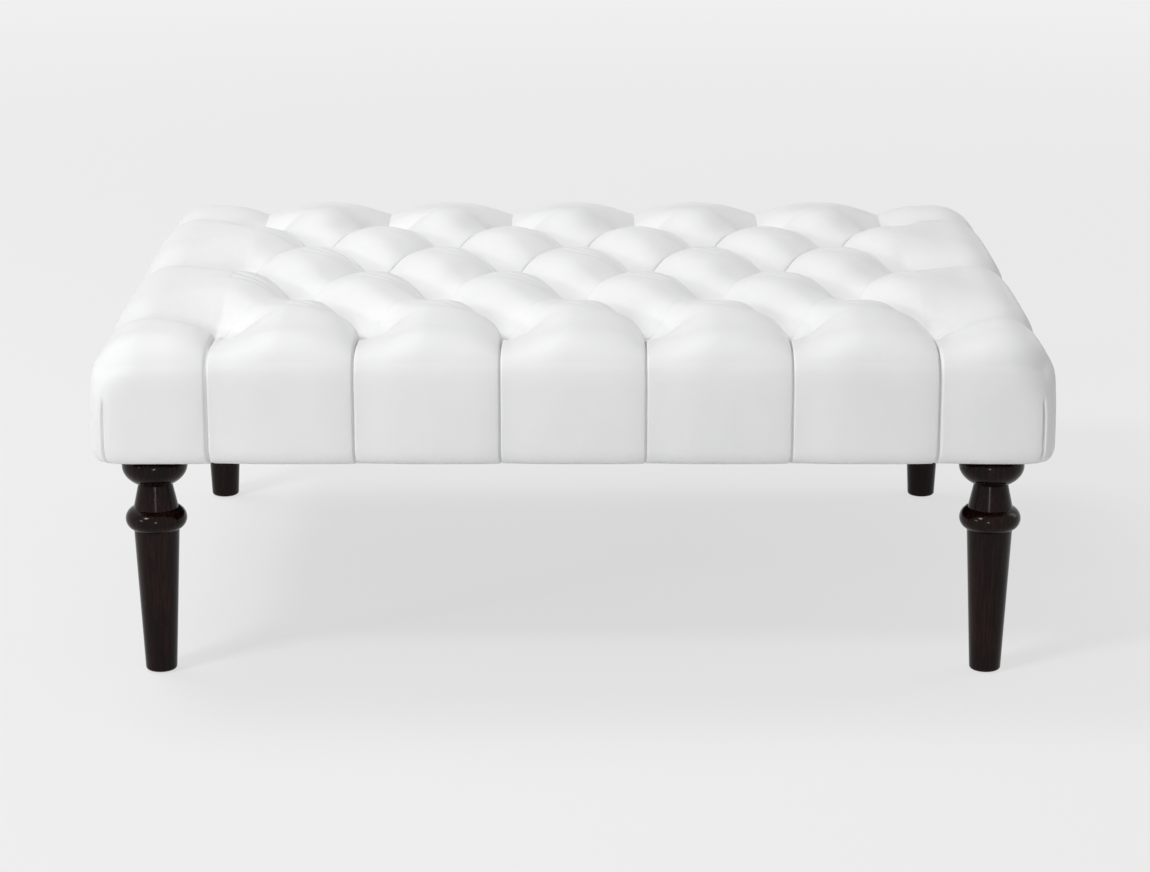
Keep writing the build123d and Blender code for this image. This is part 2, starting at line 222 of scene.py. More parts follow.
def tucks(column, row):
    """How far the flanks of a pillow tuck in: back right, front right, front left and back left.

    Back flanks tuck in and front flanks flow out. Beside a side border both sides do so evenly, and
    beside the back border no flank tucks in."""
    back = smooth_step(row - GRID_ROWS + 2)
    from_side = np.minimum(column, GRID_COLUMNS - 1 - column)
    sides = (1 - smooth_step(from_side)) * rise(row, *SIDE_TUCK_ROW_RISE)
    back_left = np.maximum(rise(row, *BACK_LEFT_ROW_RISE), sides)
    inner = mix(*FRONT_TUCKS, rise(row, *FRONT_TUCK_ROW_RISE))
    front_right = mix(mix(1.0, inner, rise(row, *FIRST_TUCK_ROW_RISE)), SIDE_TUCK, sides)
    flanks = (1.0, front_right, SIDE_TUCK * sides, back_left)
    return [tuck * (1 - back) for tuck in flanks]


def fine_depth(across, along, row):
    """Depth of the grooves, lips and creases of the field, by place in a pillow and row."""
    groove = crease((1 - np.abs(along)) * PLEAT_SPACING) * rise(row, *GROOVE_ROW_RISE)
    inward = (1 - across) * PLEAT_SPACING
    lip = ridge(inward, LIP_PLACE, LIP_WIDTH)
    lip = lip - LIP_GROOVE_SHARE * ridge(inward, LIP_GROOVE_PLACE, LIP_GROOVE_WIDTH)
    window = smooth_step((LIP_END_SHARE - np.abs(along)) / LIP_END_FADE_SHARE)
    fine = groove - LIP_HEIGHT * window * lip * mix(LIP_FRONT_SHARE, 1.0, rise(row, *LIP_ROW_RISE))
    started = rise(along, *CREASE_START_RISE)
    for place, weight in CREASE_PLACE_SHARES:
        narrowed = place * (1 - CREASE_NARROWING_SHARE * rise(along, *CREASE_NARROWING_RISE))
        stretch = ridge((1 - across - narrowed) * PLEAT_SPACING, 0, CREASE_WIDTH)
        fine += CREASE_DEPTH * weight * started * stretch
    return fine


def lattice_depth(column, row):
    """Depth of the tufted field below its crests."""
    across = (column + row) % 2 - 1
    along = (column - row) % 2 - 1
    back_right, front_right, front_left, back_left = tucks(column, row)
    depths = []
    for share, tuck in (
        (np.abs(across), np.where(across > 0, back_right, front_left)),
        (np.abs(along), np.where(along > 0, front_right, back_left)),
    ):
        depths.append(mix(flowing_flank(share, left_flow(row)), tucked_flank(share), tuck))
    first, second = depths
    pleat = left_pleat(row)
    broad = PLEAT_DEPTH * first + pleat * second + (TUFT_DEPTH - PLEAT_DEPTH - pleat) * first * second
    return broad + fine_depth(across, along, row)


def eased(run):
    """A distance from a tuft, rounded off beside it."""
    return np.sqrt(run**2 + TUFT_EASE**2) - TUFT_EASE


def front_seam(run):
    """Depth of a front or back seam, by its distance out from the tuft over the shoulder and down."""
    shoulder = (SEAM_SHOULDER_DEPTH - SEAM_FACE_DEPTH) * (1 - rise(run, *SEAM_SHOULDER_RISE))
    dip = np.exp(-((eased(run) / SEAM_REACH) ** SEAM_REACH_POWER))
    return SEAM_FACE_DEPTH + shoulder + (TUFT_DEPTH - SEAM_SHOULDER_DEPTH) * dip


def side_seam(run):
    dip = np.exp(-((eased(run) / SIDE_SEAM_REACH) ** SIDE_SEAM_REACH_POWER))
    return SIDE_SEAM_DEPTH + (TUFT_DEPTH - SIDE_SEAM_DEPTH) * dip


def border_profile(right, left, share, run, row):
    """Depth share of a border pillow between its seams, which starts as the field ends at a row."""
    shape = np.where(share > 0, right, left)
    pleats = (PLEAT_DEPTH + left_pleat(row)) / TUFT_DEPTH
    tuft_line = pleats * shape + (1 - pleats) * shape**2
    return mix(tuft_line, shape, smooth_step(run / TUFT_LINE_RUN))


def front_profile(share, run, back):
    """The same for a front or, where back is 1, a back border pillow across its width."""
    low = rise(run, *FRONT_LOW_RISE)
    size = np.abs(share)
    flow = mix(left_flow(0), left_flow(GRID_ROWS), back)
    tucked = tucked_flank(size, mix(TUCK_POWER, FRONT_LOW_TUCK_POWER, low))
    flowing = flowing_flank(size, mix(flow, FRONT_LOW_FLOW_POWER, low))
    plain = back * smooth_step(run / TUFT_LINE_RUN)
    right = mix(mix(tucked, flowing, back), size**PLAIN_POWER, plain)
    left = mix(flowing, size**PLAIN_POWER, plain)
    return border_profile(right, left, share, run, back * (GRID_ROWS - 1))


def side_profile(share, run, row):
    """The same for a side border pillow along its length, tucked at the back."""
    low = rise(run, *SIDE_LOW_RISE)
    size = np.abs(share)
    tucked = tucked_flank(size, mix(TUCK_POWER, SIDE_LOW_TUCK_POWER, low))
    flowing = flowing_flank(size, mix(left_flow(row), SIDE_LOW_FLOW_POWER, low))
    back_right, _, front_left, _ = tucks(0 * row, row)
    away = smooth_step(run / SIDE_AWAY_RUN)
    right = mix(flowing, tucked, mix(back_right, 1.0, away))
    left = mix(flowing, tucked, mix(front_left, 0.0, away))
    return border_profile(right, left, share, run, row)


def pillow_stations():
    """Stations across one pillow from -1 to 1, closest together at its pleats."""
    even = np.linspace(-1, 1, STEPS_PER_PILLOW + 1)
    stations = even + STATION_GATHER * np.sin(math.pi * even) / math.pi
    return (stations - stations[::-1]) / 2


def field_mesh():
    """Column and row of each point of the tufted field, in grid cells, and the faces between them."""
    stations = pillow_stations()
    lines = []
    for pillow in range(-GRID_ROWS, GRID_COLUMNS + GRID_ROWS, 2):
        lines.append(pillow - GRID_ROWS % 2 + 1 + stations[:-1])
    lines = np.concatenate(lines)
    first, second = np.meshgrid(lines, lines, indexing="ij")
    column, row = (first + second) / 2, (first - second) / 2
    inside = (column > -FIELD_MARGIN) & (column < GRID_COLUMNS - 1 + FIELD_MARGIN)
    inside &= (row > -FIELD_MARGIN) & (row < GRID_ROWS - 1 + FIELD_MARGIN)
    index = np.cumsum(inside).reshape(inside.shape) - 1
    corners = [(0, 0), (1, 0), (1, 1), (0, 1)]
    size = lines.size
    held = [inside[i : size - 1 + i, j : size - 1 + j] for i, j in corners]
    named = [index[i : size - 1 + i, j : size - 1 + j] for i, j in corners]
    whole = held[0] & held[1] & held[2] & held[3]
    faces = [np.stack([named[k][whole] for k in (3, 2, 1, 0)], axis=-1)]
    for missing in range(4):
        kept = [k for k in range(4) if k != missing]
        part = ~held[missing] & held[kept[0]] & held[kept[1]] & held[kept[2]]
        faces.append(np.stack([named[k][part] for k in kept[::-1]], axis=-1))
    return column[inside], row[inside], faces


def shoulder_points(p, q, drop, half_x, half_y):
    """Points and normals of the plain rounded form, from stations on a sharp box.

    The stations are the plan p and q, and the drop below the top edge."""
    run, fall = SHOULDER_RUN, SHOULDER_DROP
    out_x = np.clip(np.abs(p) - (half_x - run), 0, run) / run
    out_y = np.clip(np.abs(q) - (half_y - run), 0, run) / run
    out_z = np.clip(fall - drop, 0, fall) / fall
    power = mix(SHOULDER_POWER, CORNER_POWER, rise(drop, *CORNER_POWER_RISE))
    norm = (out_x**power + out_y**power + out_z**power) ** (1 / power)
    out_x = np.sign(p) * out_x / norm
    out_y = np.sign(q) * out_y / norm
    out_z = out_z / norm
    core_x = np.sign(p) * np.minimum(np.abs(p), half_x - run)
    core_y = np.sign(q) * np.minimum(np.abs(q), half_y - run)
    core_z = CREST_TOP - np.maximum(drop, fall)
    points = np.stack([core_x + run * out_x, core_y + run * out_y, core_z + fall * out_z], axis=-1)
    normal = np.stack([out_x / run, out_y / run, out_z / fall], axis=-1)
    return points, normal / np.linalg.norm(normal, axis=-1, keepdims=True)


def front_depth(column, over, back):
    """Depth of the front or back border, by how far over the edge of the field it lies."""
    share = column % 2 - 1
    fine = crease((1 - np.abs(share)) * HALF_PITCH_X)
    fine *= 1 - back * (1 - rise(over, *BACK_GROOVE_RISE))
    return front_seam(over) * front_profile(share, over, back) + fine


def side_depth(row, over):
    """The same for a side border, whose seams have a lip."""
    share = row % 2 - 1
    depth = side_seam(over) * side_profile(share, over, row)
    depth += crease((1 - np.abs(share)) * HALF_PITCH_Y)
    lip = LIP_HEIGHT * ridge((1 + share) * HALF_PITCH_Y, SEAM_LIP_PLACE, LIP_WIDTH)
    return depth - lip * smooth_step(over / SEAM_LIP_RUN)


def corner_depth(p, q, over_x, over_y, row, back):
    """Depth of the corner pillows, which rise from the last front seam and the last side seam."""
    past_x = np.abs(p) + FIRST_X
    past_y = np.abs(q) + FIRST_Y
    reach = np.hypot(over_x, over_y)
    front_share = np.clip(1 - past_x / CORNER_REACH_X, 0, 1) * -np.sign(p)
    side_share = np.clip(1 - past_y / CORNER_REACH_Y, 0, 1) * -np.sign(q)
    front_rest = 1 - front_profile(front_share, reach, back)
    side_rest = 1 - side_profile(side_share, reach, np.clip(row, 0, GRID_ROWS - 1))
    frontness = over_y**2 / np.maximum(reach**2, NEAR**2)
    seam = mix(side_seam(reach), front_seam(reach), frontness)
    return seam * (1 - front_rest * side_rest) + np.maximum(crease(past_x), crease(past_y))


def cover_depth(p, q, drop, half_x, half_y):
    """Depth of the cover below its plain rounded form."""
    in_columns = np.abs(p) + FIRST_X <= NEAR
    in_rows = np.abs(q) + FIRST_Y <= NEAR
    on_side = np.abs(p) >= half_x - NEAR
    on_front = np.abs(q) >= half_y - NEAR
    over_x = np.maximum(np.abs(p) + FIRST_X, 0) + drop * on_side
    over_y = np.maximum(np.abs(q) + FIRST_Y, 0) + drop * on_front
    column = (p - FIRST_X) / HALF_PITCH_X
    row = (q - FIRST_Y) / HALF_PITCH_Y
    back = np.where(q > 0, 1.0, 0.0)
    corner = corner_depth(p, q, over_x, over_y, row, back)
    depth = np.where(
        in_columns,
        np.where(in_rows, lattice_depth(column, row), front_depth(column, over_y, back)),
        np.where(in_rows, side_depth(row, over_x), corner),
    )
    pleat = CORNER_PLEAT_DEPTH * ridge(np.abs(p), CORNER_PLEAT_X, CORNER_PLEAT_WIDTH)
    return depth + pleat * on_front * rise(drop, *CORNER_PLEAT_RISE)


def crown_fall(p, q):
    """How much lower the crown lies towards the edges, the corners and the back."""
    fall_x = smooth_step((np.abs(p) + FIRST_X) / CROWN_RUN)
    fall_y = smooth_step((np.abs(q) + FIRST_Y) / CROWN_RUN)
    lowered = CROWN_FALL * (1 - (1 - fall_x) * (1 - fall_y)) + CORNER_FALL * fall_x * fall_y
    return lowered + BACK_FALL * fall_y * (q > 0)


def cover_points(p, q, drop, half_x, half_y, bottom):
    """Points of the dressed cover, from stations on a sharp box. Its sides draw in at the bottom."""
    points, normal = shoulder_points(p, q, drop, half_x, half_y)
    points -= normal * cover_depth(p, q, drop, half_x, half_y)[..., None]
    level = np.clip((points[..., 2] - bottom) / (CREST_TOP - bottom), 0, 1)
    points[..., 2] -= crown_fall(p, q) * level

    height = points[..., 2] - bottom
    turned = (1 - np.sqrt(1 - np.clip(1 - height / DRAW_IN_HEIGHT, 0, 1) ** 2)) * (drop > 0)
    points[..., :2] *= (1 - DRAW_ALONG * turned)[..., None]
    flat = normal * [1, 1, 0]
    length = np.maximum(np.linalg.norm(flat, axis=-1, keepdims=True), NEAR)
    points -= flat / length * (DRAW_IN * turned)[..., None]
    return points


def border_stations(half_x, half_y):
    """Stations along the width and the depth, closest together at the seams and the corner pleats."""
    stations = pillow_stations()
    axes = []
    for half, first, pitch, cells in (
        (half_x, FIRST_X, HALF_PITCH_X, GRID_COLUMNS - 1),
        (half_y, FIRST_Y, HALF_PITCH_Y, GRID_ROWS - 1),
    ):
        inner = [first + pitch * (k + 1 + stations[:-1]) for k in range(0, cells, 2)]
        border = np.linspace(-half, first, BORDER_STEPS + 1)[:-1]
        if half == half_x:
            steps = np.arange(-CORNER_PLEAT_STEP_COUNT, CORNER_PLEAT_STEP_COUNT + 1)
            border = np.union1d(border, -CORNER_PLEAT_X + CORNER_PLEAT_STEP * steps)
        axes.append(np.concatenate([border, *inner, [-first], -border[::-1]]))
    return axes


def border_mesh(half_x, half_y, start):
    """Stations of the border and their numbers from a start, as grids, and the faces round the field."""
    p, q = border_stations(half_x, half_y)
    grid_p, grid_q = np.meshgrid(p, q, indexing="ij")
    numbers = np.arange(grid_p.size).reshape(grid_p.shape) + start
    middle_p, middle_q = np.meshgrid((p[1:] + p[:-1]) / 2, (q[1:] + q[:-1]) / 2, indexing="ij")
    outside = (np.abs(middle_p) > -FIRST_X) | (np.abs(middle_q) > -FIRST_Y)
    corners = [numbers[:-1, :-1], numbers[1:, :-1], numbers[1:, 1:], numbers[:-1, 1:]]
    return grid_p, grid_q, numbers, np.stack([corner[outside] for corner in corners], axis=-1)


def rim(grid):
    """What a grid holds along its edge, once round."""
    return np.concatenate([grid[:-1, 0], grid[-1, :-1], grid[:0:-1, -1], grid[0, :0:-1]])


def band_faces(edge, start, bands):
    """Faces of bands that follow each other down from an edge, with points numbered from a start."""
    faces = []
    upper = edge
    for band in range(bands):
        lower = start + band * edge.size + np.arange(edge.size)
        faces.append(np.stack([np.roll(upper, -1), upper, lower, np.roll(lower, -1)], axis=-1))
        upper = lower
    return faces


def welded_mesh(name, points, groups):
    """A smooth mesh from groups of faces. Points that meet become one, and unused ones go."""
    steps = np.round(points * WELD_STEPS).astype(np.int64)
    merged = np.unique(steps, axis=0, return_inverse=True)[1].ravel()
    groups = [merged[group] for group in groups if len(group)]
    used = np.unique(np.concatenate([group.ravel() for group in groups]))
    renamed = np.full(merged.max() + 1, -1)
    renamed[used] = np.arange(used.size)
    places = np.zeros((merged.max() + 1, 3))
    places[merged] = points
    faces = [face for group in groups for face in renamed[group].tolist()]
    mesh = bpy.data.meshes.new(name)
    mesh.from_pydata(places[used].tolist(), [], faces)
    mesh.polygons.foreach_set("use_smooth", [True] * len(mesh.polygons))
    mesh.update()
    mesh.validate()
    return mesh


def build_cover():
    """The dressed cover: its tufted field, border, walls and the hem turned in below them."""
    low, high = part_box("tufted_cover")
    half_x, half_y, bottom = high[0], high[1], low[2]
    column, row, field_faces = field_mesh()
    grid_p, grid_q, numbers, border_faces = border_mesh(half_x, half_y, column.size)
    edge = rim(numbers)
    drops = np.linspace(0, CREST_TOP - bottom, WALL_STEPS + 1)[1:]
    p = [FIRST_X + column * HALF_PITCH_X, grid_p.ravel(), np.tile(rim(grid_p), WALL_STEPS)]
    q = [FIRST_Y + row * HALF_PITCH_Y, grid_q.ravel(), np.tile(rim(grid_q), WALL_STEPS)]
    drop = [np.zeros(column.size + numbers.size), np.repeat(drops, edge.size)]
    stations = [np.concatenate(part) for part in (p, q, drop)]
    points = cover_points(*stations, half_x, half_y, bottom)
    lowest = points[-edge.size :]
    hem = []
    for step in range(1, HEM_STEPS + 1):
        scale = 1 - HEM_RUN * step / HEM_STEPS / np.array([half_x, half_y, 1])
        hem.append(lowest * [1, 1, 0] * scale + [0, 0, bottom])
    points = np.concatenate([points, *hem])
    wall_faces = band_faces(edge, column.size + numbers.size, WALL_STEPS + HEM_STEPS)
    mesh = welded_mesh("seat_cover", points, [*field_faces, border_faces, *wall_faces])
    cover = bpy.data.objects.new("seat_cover", mesh)
    bpy.context.scene.collection.objects.link(cover)
    return cover


# Materials

# A relief is the depth of a surface pattern in metres, and patterns are scaled per metre.
THREAD_PITCH = 0.0008
THREAD_RELIEF = 0.00012
UPRIGHT_THREAD_SHARE = 0.33
CRUMPLE_RELIEF = 0.0011
SATIN_COLORS = ((0.855, 0.857, 0.862), (0.885, 0.885, 0.888))
DARK_WOOD_RELIEF = 0.00003
DARK_WOOD_STRETCH = (1, 1, 0.045)
BROAD_GRAIN_STRETCH = (1, 1, 0.12)
BROAD_GRAIN_SHARE = 0.5
DARK_WOOD_COLORS = ((0.0038, 0.0011, 0.0008), (0.0085, 0.0028, 0.002), (0.023, 0.009, 0.0062))
SAWN_RELIEF = 0.00025
SAWN_STRETCH = 0.06
SAWN_FIBRE_SHARE = 0.45
PINE_COLORS = ((0.78, 0.62, 0.4), (0.72, 0.54, 0.32), (0.55, 0.37, 0.19))
VENEER_COLORS = ((0.66, 0.5, 0.33), (0.6, 0.44, 0.28), (0.5, 0.35, 0.21))
DARK_PLY_COLOR = (0.36, 0.23, 0.13, 1)
PLY_THICKNESS = 0.0017
PLY_EDGE_SLOPE_SHARE = 0.5
FOAM_RELIEF = 0.0008
FOAM_COLORS = ((0.8, 0.74, 0.54), (0.87, 0.82, 0.65))
DUST_CLOTH_RELIEF = 0.0003
DUST_CLOTH_COLORS = ((0.022, 0.022, 0.024), (0.06, 0.06, 0.064))
TWINE_RELIEF = 0.0004
TWINE_COLORS = ((0.55, 0.49, 0.38), (0.84, 0.8, 0.7))
NYLON_RELIEF = 0.00008
NYLON_COLORS = ((0.03, 0.026, 0.023), (0.1, 0.09, 0.08))
STEEL_RELIEF = 0.00005
SCRATCH_STRETCH = (1, 1, 8)
SCRATCH_POLISH = 0.08
SCRATCH_DULLNESS = 0.15
ZINC_COLORS = ((0.6, 0.61, 0.6), (0.68, 0.68, 0.64))
WASHER_COLORS = ((0.52, 0.52, 0.52), (0.58, 0.57, 0.56))

# A wave pattern of scale 1 repeats after this length
WAVE_TURN = 2 * math.pi / 20


def node_maker(tree):
    """A function that adds a node, sets inputs by name or as n0 and n1, and gives its first output."""

    def add(kind, settings=None, **inputs):
        node = tree.nodes.new(kind)
        for key, value in (settings or {}).items():
            setattr(node, key, value)
        for key, value in inputs.items():
            numbered = key[0] == "n" and key[1:].isdigit()
            socket = node.inputs[int(key[1:]) if numbered else key.replace("_", " ")]
            if isinstance(value, bpy.types.NodeSocket):
                tree.links.new(value, socket)
            else:
                socket.default_value = value
        return node.outputs[0]

    return add


def feed(node, key, output):
    node.id_data.links.new(output, node.inputs[key])


def calculate(add, operation, *values):
    inputs = {f"n{index}": value for index, value in enumerate(values)}
    return add("ShaderNodeMath", {"operation": operation}, **inputs)


def grey(value):
    return value, value, value, 1


def new_material(name, roughness, specular=0.5):
    """A material with its shader and the maker of its nodes."""
    material = bpy.data.materials.new(name)
    material.use_nodes = True
    shader = material.node_tree.nodes["Principled BSDF"]
    shader.inputs["Roughness"].default_value = roughness
    shader.inputs["Specular IOR Level"].default_value = specular
    return material, shader, node_maker(material.node_tree)


def object_place(add):
    """Object coordinates in metres."""
    return add("ShaderNodeTexCoord").node.outputs["Object"]


def stretched(add, stretch=(1, 1, 1)):
    """Object coordinates, squeezed along an axis to draw a pattern out along it."""
    return add("ShaderNodeMapping", Vector=object_place(add), Scale=stretch)


def noise(add, where, **inputs):
    return add("ShaderNodeTexNoise", Vector=where, **inputs)


def bands(add, where, direction, **inputs):
    settings = {"wave_type": "BANDS", "bands_direction": direction}
    return add("ShaderNodeTexWave", settings, Vector=where, **inputs)


def ramp(add, value, *stops):
    """A colour or grey that runs through the given stops of place and colour."""
    output = add("ShaderNodeValToRGB", Fac=value)
    elements = output.node.color_ramp.elements
    while len(elements) < len(stops):
        elements.new(0.5)
    for element, (position, color) in zip(elements, stops):
        element.position = position
        element.color = (*color, 1) if isinstance(color, tuple) else grey(color)
    return output


def bump(add, shader, height, relief):
    """Relief of a full depth where the height runs from 0 to 1."""
    feed(shader, "Normal", add("ShaderNodeBump", Height=height, Strength=1.0, Distance=relief))


def weave(add):
    """Threads that cross each other on a face that looks along any axis."""
    where = stretched(add)
    scale = WAVE_TURN / THREAD_PITCH
    along_x, along_y, along_z = [bands(add, where, axis, Scale=scale, Distortion=0.6) for axis in "XYZ"]
    crossed = calculate(add, "ADD", along_x, along_y)
    return calculate(add, "MULTIPLY_ADD", along_z, UPRIGHT_THREAD_SHARE, crossed)


def fabric_material():
    """White satin: a fine weave, faint crumpling and a soft sheen."""
    material, shader, add = new_material("white_fabric", roughness=0.55, specular=0.35)
    where = stretched(add)
    shady, bright = SATIN_COLORS
    cloudy = noise(add, where, Scale=9.0, Detail=3.0)
    feed(shader, "Base Color", ramp(add, cloudy, (0.3, shady), (0.7, bright)))
    crumple = noise(add, where, Scale=32.0, Detail=2.0, Roughness=0.45)
    fine = add("ShaderNodeBump", Height=weave(add), Strength=0.35, Distance=THREAD_RELIEF)
    soft = add("ShaderNodeBump", Height=crumple, Strength=1.0, Distance=CRUMPLE_RELIEF, Normal=fine)
    feed(shader, "Normal", soft)
    shader.inputs["Sheen Weight"].default_value = 0.3
    shader.inputs["Sheen Roughness"].default_value = 0.35
    return material


def dark_wood_material():
    """Espresso stain over an upright grain, under a semi-gloss varnish."""
    material, shader, add = new_material("dark_wood", roughness=0.2, specular=0.13)
    grain = noise(add, stretched(add, DARK_WOOD_STRETCH), Scale=420.0, Detail=5.0, Roughness=0.6)
    broad = noise(add, stretched(add, BROAD_GRAIN_STRETCH), Scale=55.0, Detail=2.0)
    mixed = calculate(add, "MULTIPLY_ADD", broad, BROAD_GRAIN_SHARE, grain)
    dark, middle, light = DARK_WOOD_COLORS
    feed(shader, "Base Color", ramp(add, mixed, (0.5, dark), (0.76, middle), (0.98, light)))
    feed(shader, "Roughness", ramp(add, grain, (0.35, 0.17), (0.7, 0.12)))
    bump(add, shader, grain, DARK_WOOD_RELIEF)
    return material


def sawn_wood_material(name, along, colors):
    """Pale sawn timber with its grain drawn out along the axis x or y."""
    material, shader, add = new_material(name, roughness=0.62, specular=0.35)
    where = stretched(add, tuple(SAWN_STRETCH if axis == along else 1.0 for axis in "xyz"))
    across = {"x": "Y", "y": "X"}[along]
    rings = bands(add, where, across, Scale=22.0, Distortion=7.0, Detail=3.0, Detail_Scale=2.0)
    fibre = noise(add, where, Scale=520.0, Detail=4.0, Roughness=0.65)
    mixed = calculate(add, "MULTIPLY_ADD", fibre, SAWN_FIBRE_SHARE, rings)
    pale, middle, deep = colors
    feed(shader, "Base Color", ramp(add, mixed, (0.15, pale), (0.7, middle), (1.0, deep)))
    bump(add, shader, fibre, SAWN_RELIEF)
    return material


def plywood_material():
    """Veneer on the faces, and the plies in bands on the edges."""
    material = sawn_wood_material("plywood", "x", VENEER_COLORS)
    shader = material.node_tree.nodes["Principled BSDF"]
    veneer = shader.inputs["Base Color"].links[0].from_socket
    add = node_maker(material.node_tree)
    height = add("ShaderNodeSeparateXYZ", Vector=object_place(add)).node.outputs["Z"]
    ply = calculate(add, "PINGPONG", height, PLY_THICKNESS)
    dark = calculate(add, "GREATER_THAN", ply, PLY_THICKNESS / 2)
    normal = add("ShaderNodeNewGeometry").node.outputs["Normal"]
    facing = add("ShaderNodeSeparateXYZ", Vector=normal).node.outputs["Z"]
    slope = calculate(add, "ABSOLUTE", facing)
    on_edge = calculate(add, "LESS_THAN", slope, PLY_EDGE_SLOPE_SHARE)
    banded = calculate(add, "MULTIPLY", on_edge, dark)
    shade = add("ShaderNodeMix", {"data_type": "RGBA"}, Factor=banded, A=veneer, B=DARK_PLY_COLOR)
    feed(shader, "Base Color", shade.node.outputs["Result"])
    return material


def foam_material():
    """Cream foam with open cells."""
    material, shader, add = new_material("foam", roughness=0.9, specular=0.2)
    where = stretched(add)
    deep, pale = FOAM_COLORS
    cells = add("ShaderNodeTexVoronoi", Vector=where, Scale=620.0)
    mottle = noise(add, where, Scale=14.0, Detail=3.0)
    feed(shader, "Base Color", ramp(add, mottle, (0.3, deep), (0.7, pale)))
    bump(add, shader, cells, FOAM_RELIEF)
    return material


def dust_cloth_material():
    """Thin black non-woven cloth: matted fibres with a point-bonded pattern."""
    material, shader, add = new_material("dust_cloth", roughness=0.92, specular=0.15)
    where = stretched(add)
    black, faded = DUST_CLOTH_COLORS
    fibres = noise(add, where, Scale=700.0, Detail=4.0, Distortion=2.5)
    settings = {"feature": "DISTANCE_TO_EDGE"}
    dots = add("ShaderNodeTexVoronoi", settings, Vector=where, Scale=500.0, Randomness=0.0)
    feed(shader, "Base Color", ramp(add, fibres, (0.35, black), (0.65, faded)))
    bump(add, shader, calculate(add, "ADD", fibres, dots), DUST_CLOTH_RELIEF)
    return material


def twine_material():
    """Waxed cream twine, laid from strands that wind round it."""
    material, shader, add = new_material("twine", roughness=0.55, specular=0.4)
    deep, pale = TWINE_COLORS
    strands = bands(add, stretched(add), "DIAGONAL", Scale=260.0, Distortion=1.0)
    feed(shader, "Base Color", ramp(add, strands, (0.1, deep), (0.6, pale)))
    bump(add, shader, strands, TWINE_RELIEF)
    return material


def nylon_material():
    """Moulded dark nylon, finely textured and scuffed."""
    material, shader, add = new_material("nylon", roughness=0.45)
    where = stretched(add)
    dark, scuffed = NYLON_COLORS
    texture = noise(add, where, Scale=900.0, Detail=3.0)
    scuffs = noise(add, where, Scale=120.0, Detail=5.0, Distortion=1.5)
    feed(shader, "Base Color", ramp(add, scuffs, (0.45, dark), (0.75, scuffed)))
    feed(shader, "Roughness", ramp(add, scuffs, (0.4, 0.4), (0.7, 0.65)))
    bump(add, shader, texture, NYLON_RELIEF)
    return material


def steel_material(name, colors, roughness):
    """Plated or pressed steel with a faint spangle and fine scratches."""
    material, shader, add = new_material(name, roughness)
    shader.inputs["Metallic"].default_value = 1.0
    color, tint = colors
    spangle = add("ShaderNodeTexVoronoi", Vector=stretched(add), Scale=300.0)
    scratches = noise(add, stretched(add, SCRATCH_STRETCH), Scale=260.0, Detail=6.0, Distortion=0.8)
    feed(shader, "Base Color", ramp(add, spangle, (0.1, color), (0.8, tint)))
    polished, dull = roughness - SCRATCH_POLISH, roughness + SCRATCH_DULLNESS
    feed(shader, "Roughness", ramp(add, scratches, (0.35, polished), (0.7, dull)))
    bump(add, shader, scratches, STEEL_RELIEF)
    return material


# Timbers whose grain runs from front to back
CROSSWISE = ("rail_left", "rail_right", "stretcher_left", "stretcher_right")


def finish_parts(finishes, crosswise_pine):
    """Gives each part of the frame the finish of its slot."""
    for subpart in frame["record"]["subparts"]:
        name, slot = subpart["node"], subpart["material_slot"]
        if slot in finishes:
            finish = crosswise_pine if name in CROSSWISE else finishes[slot]
            for held in frame["nodes"][name].material_slots:
                held.material = finish


zinc = steel_material("zinc_steel", ZINC_COLORS, roughness=0.3)
finishes = {
    "dark_wood": dark_wood_material(),
    "pine": sawn_wood_material("pine", "x", PINE_COLORS),
    "plywood": plywood_material(),
    "foam": foam_material(),
    "dust_cloth": dust_cloth_material(),
    "twine": twine_material(),
    "nylon": nylon_material(),
    "zinc_steel": zinc,
    "washer_steel": steel_material("washer_steel", WASHER_COLORS, roughness=0.38),
}
finish_parts(finishes, sawn_wood_material("pine_crosswise", "y", PINE_COLORS))

cover = build_cover()
cover.data.materials.append(fabric_material())
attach(cover, "root")
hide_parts("tufted_cover")

# Staples that hold the dust cover to the underside

STAPLE_CROWN = 0.0105
STAPLE_WIDTH = 0.0009
STAPLE_HEIGHT = 0.0006
STAPLE_BEND = 0.0012
STAPLE_INSET = 0.009
STAPLE_PITCH = 0.052
STAPLE_WANDER = 0.004
STAPLE_SKEW = 0.16
STAPLE_SEED = 7


def staple_places():
    """Middle and direction of each staple, evenly along the four edges of the dust cover."""
    low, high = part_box("dust_cover")
    random_values = random.Random(STAPLE_SEED)
    for axis in (0, 1):
        length = high[axis] - low[axis] - 4 * STAPLE_INSET
        count = round(length / STAPLE_PITCH)
        for side in (low[1 - axis] + STAPLE_INSET, high[1 - axis] - STAPLE_INSET):
            for k in range(count + 1):
                wander = random_values.uniform(-STAPLE_WANDER, STAPLE_WANDER)
                along = -length / 2 + length * k / count + wander
                middle = (along, side) if axis == 0 else (side, along)
                skew = random_values.uniform(-STAPLE_SKEW, STAPLE_SKEW)
                yield (*middle, low[2]), axis * math.pi / 2 + skew


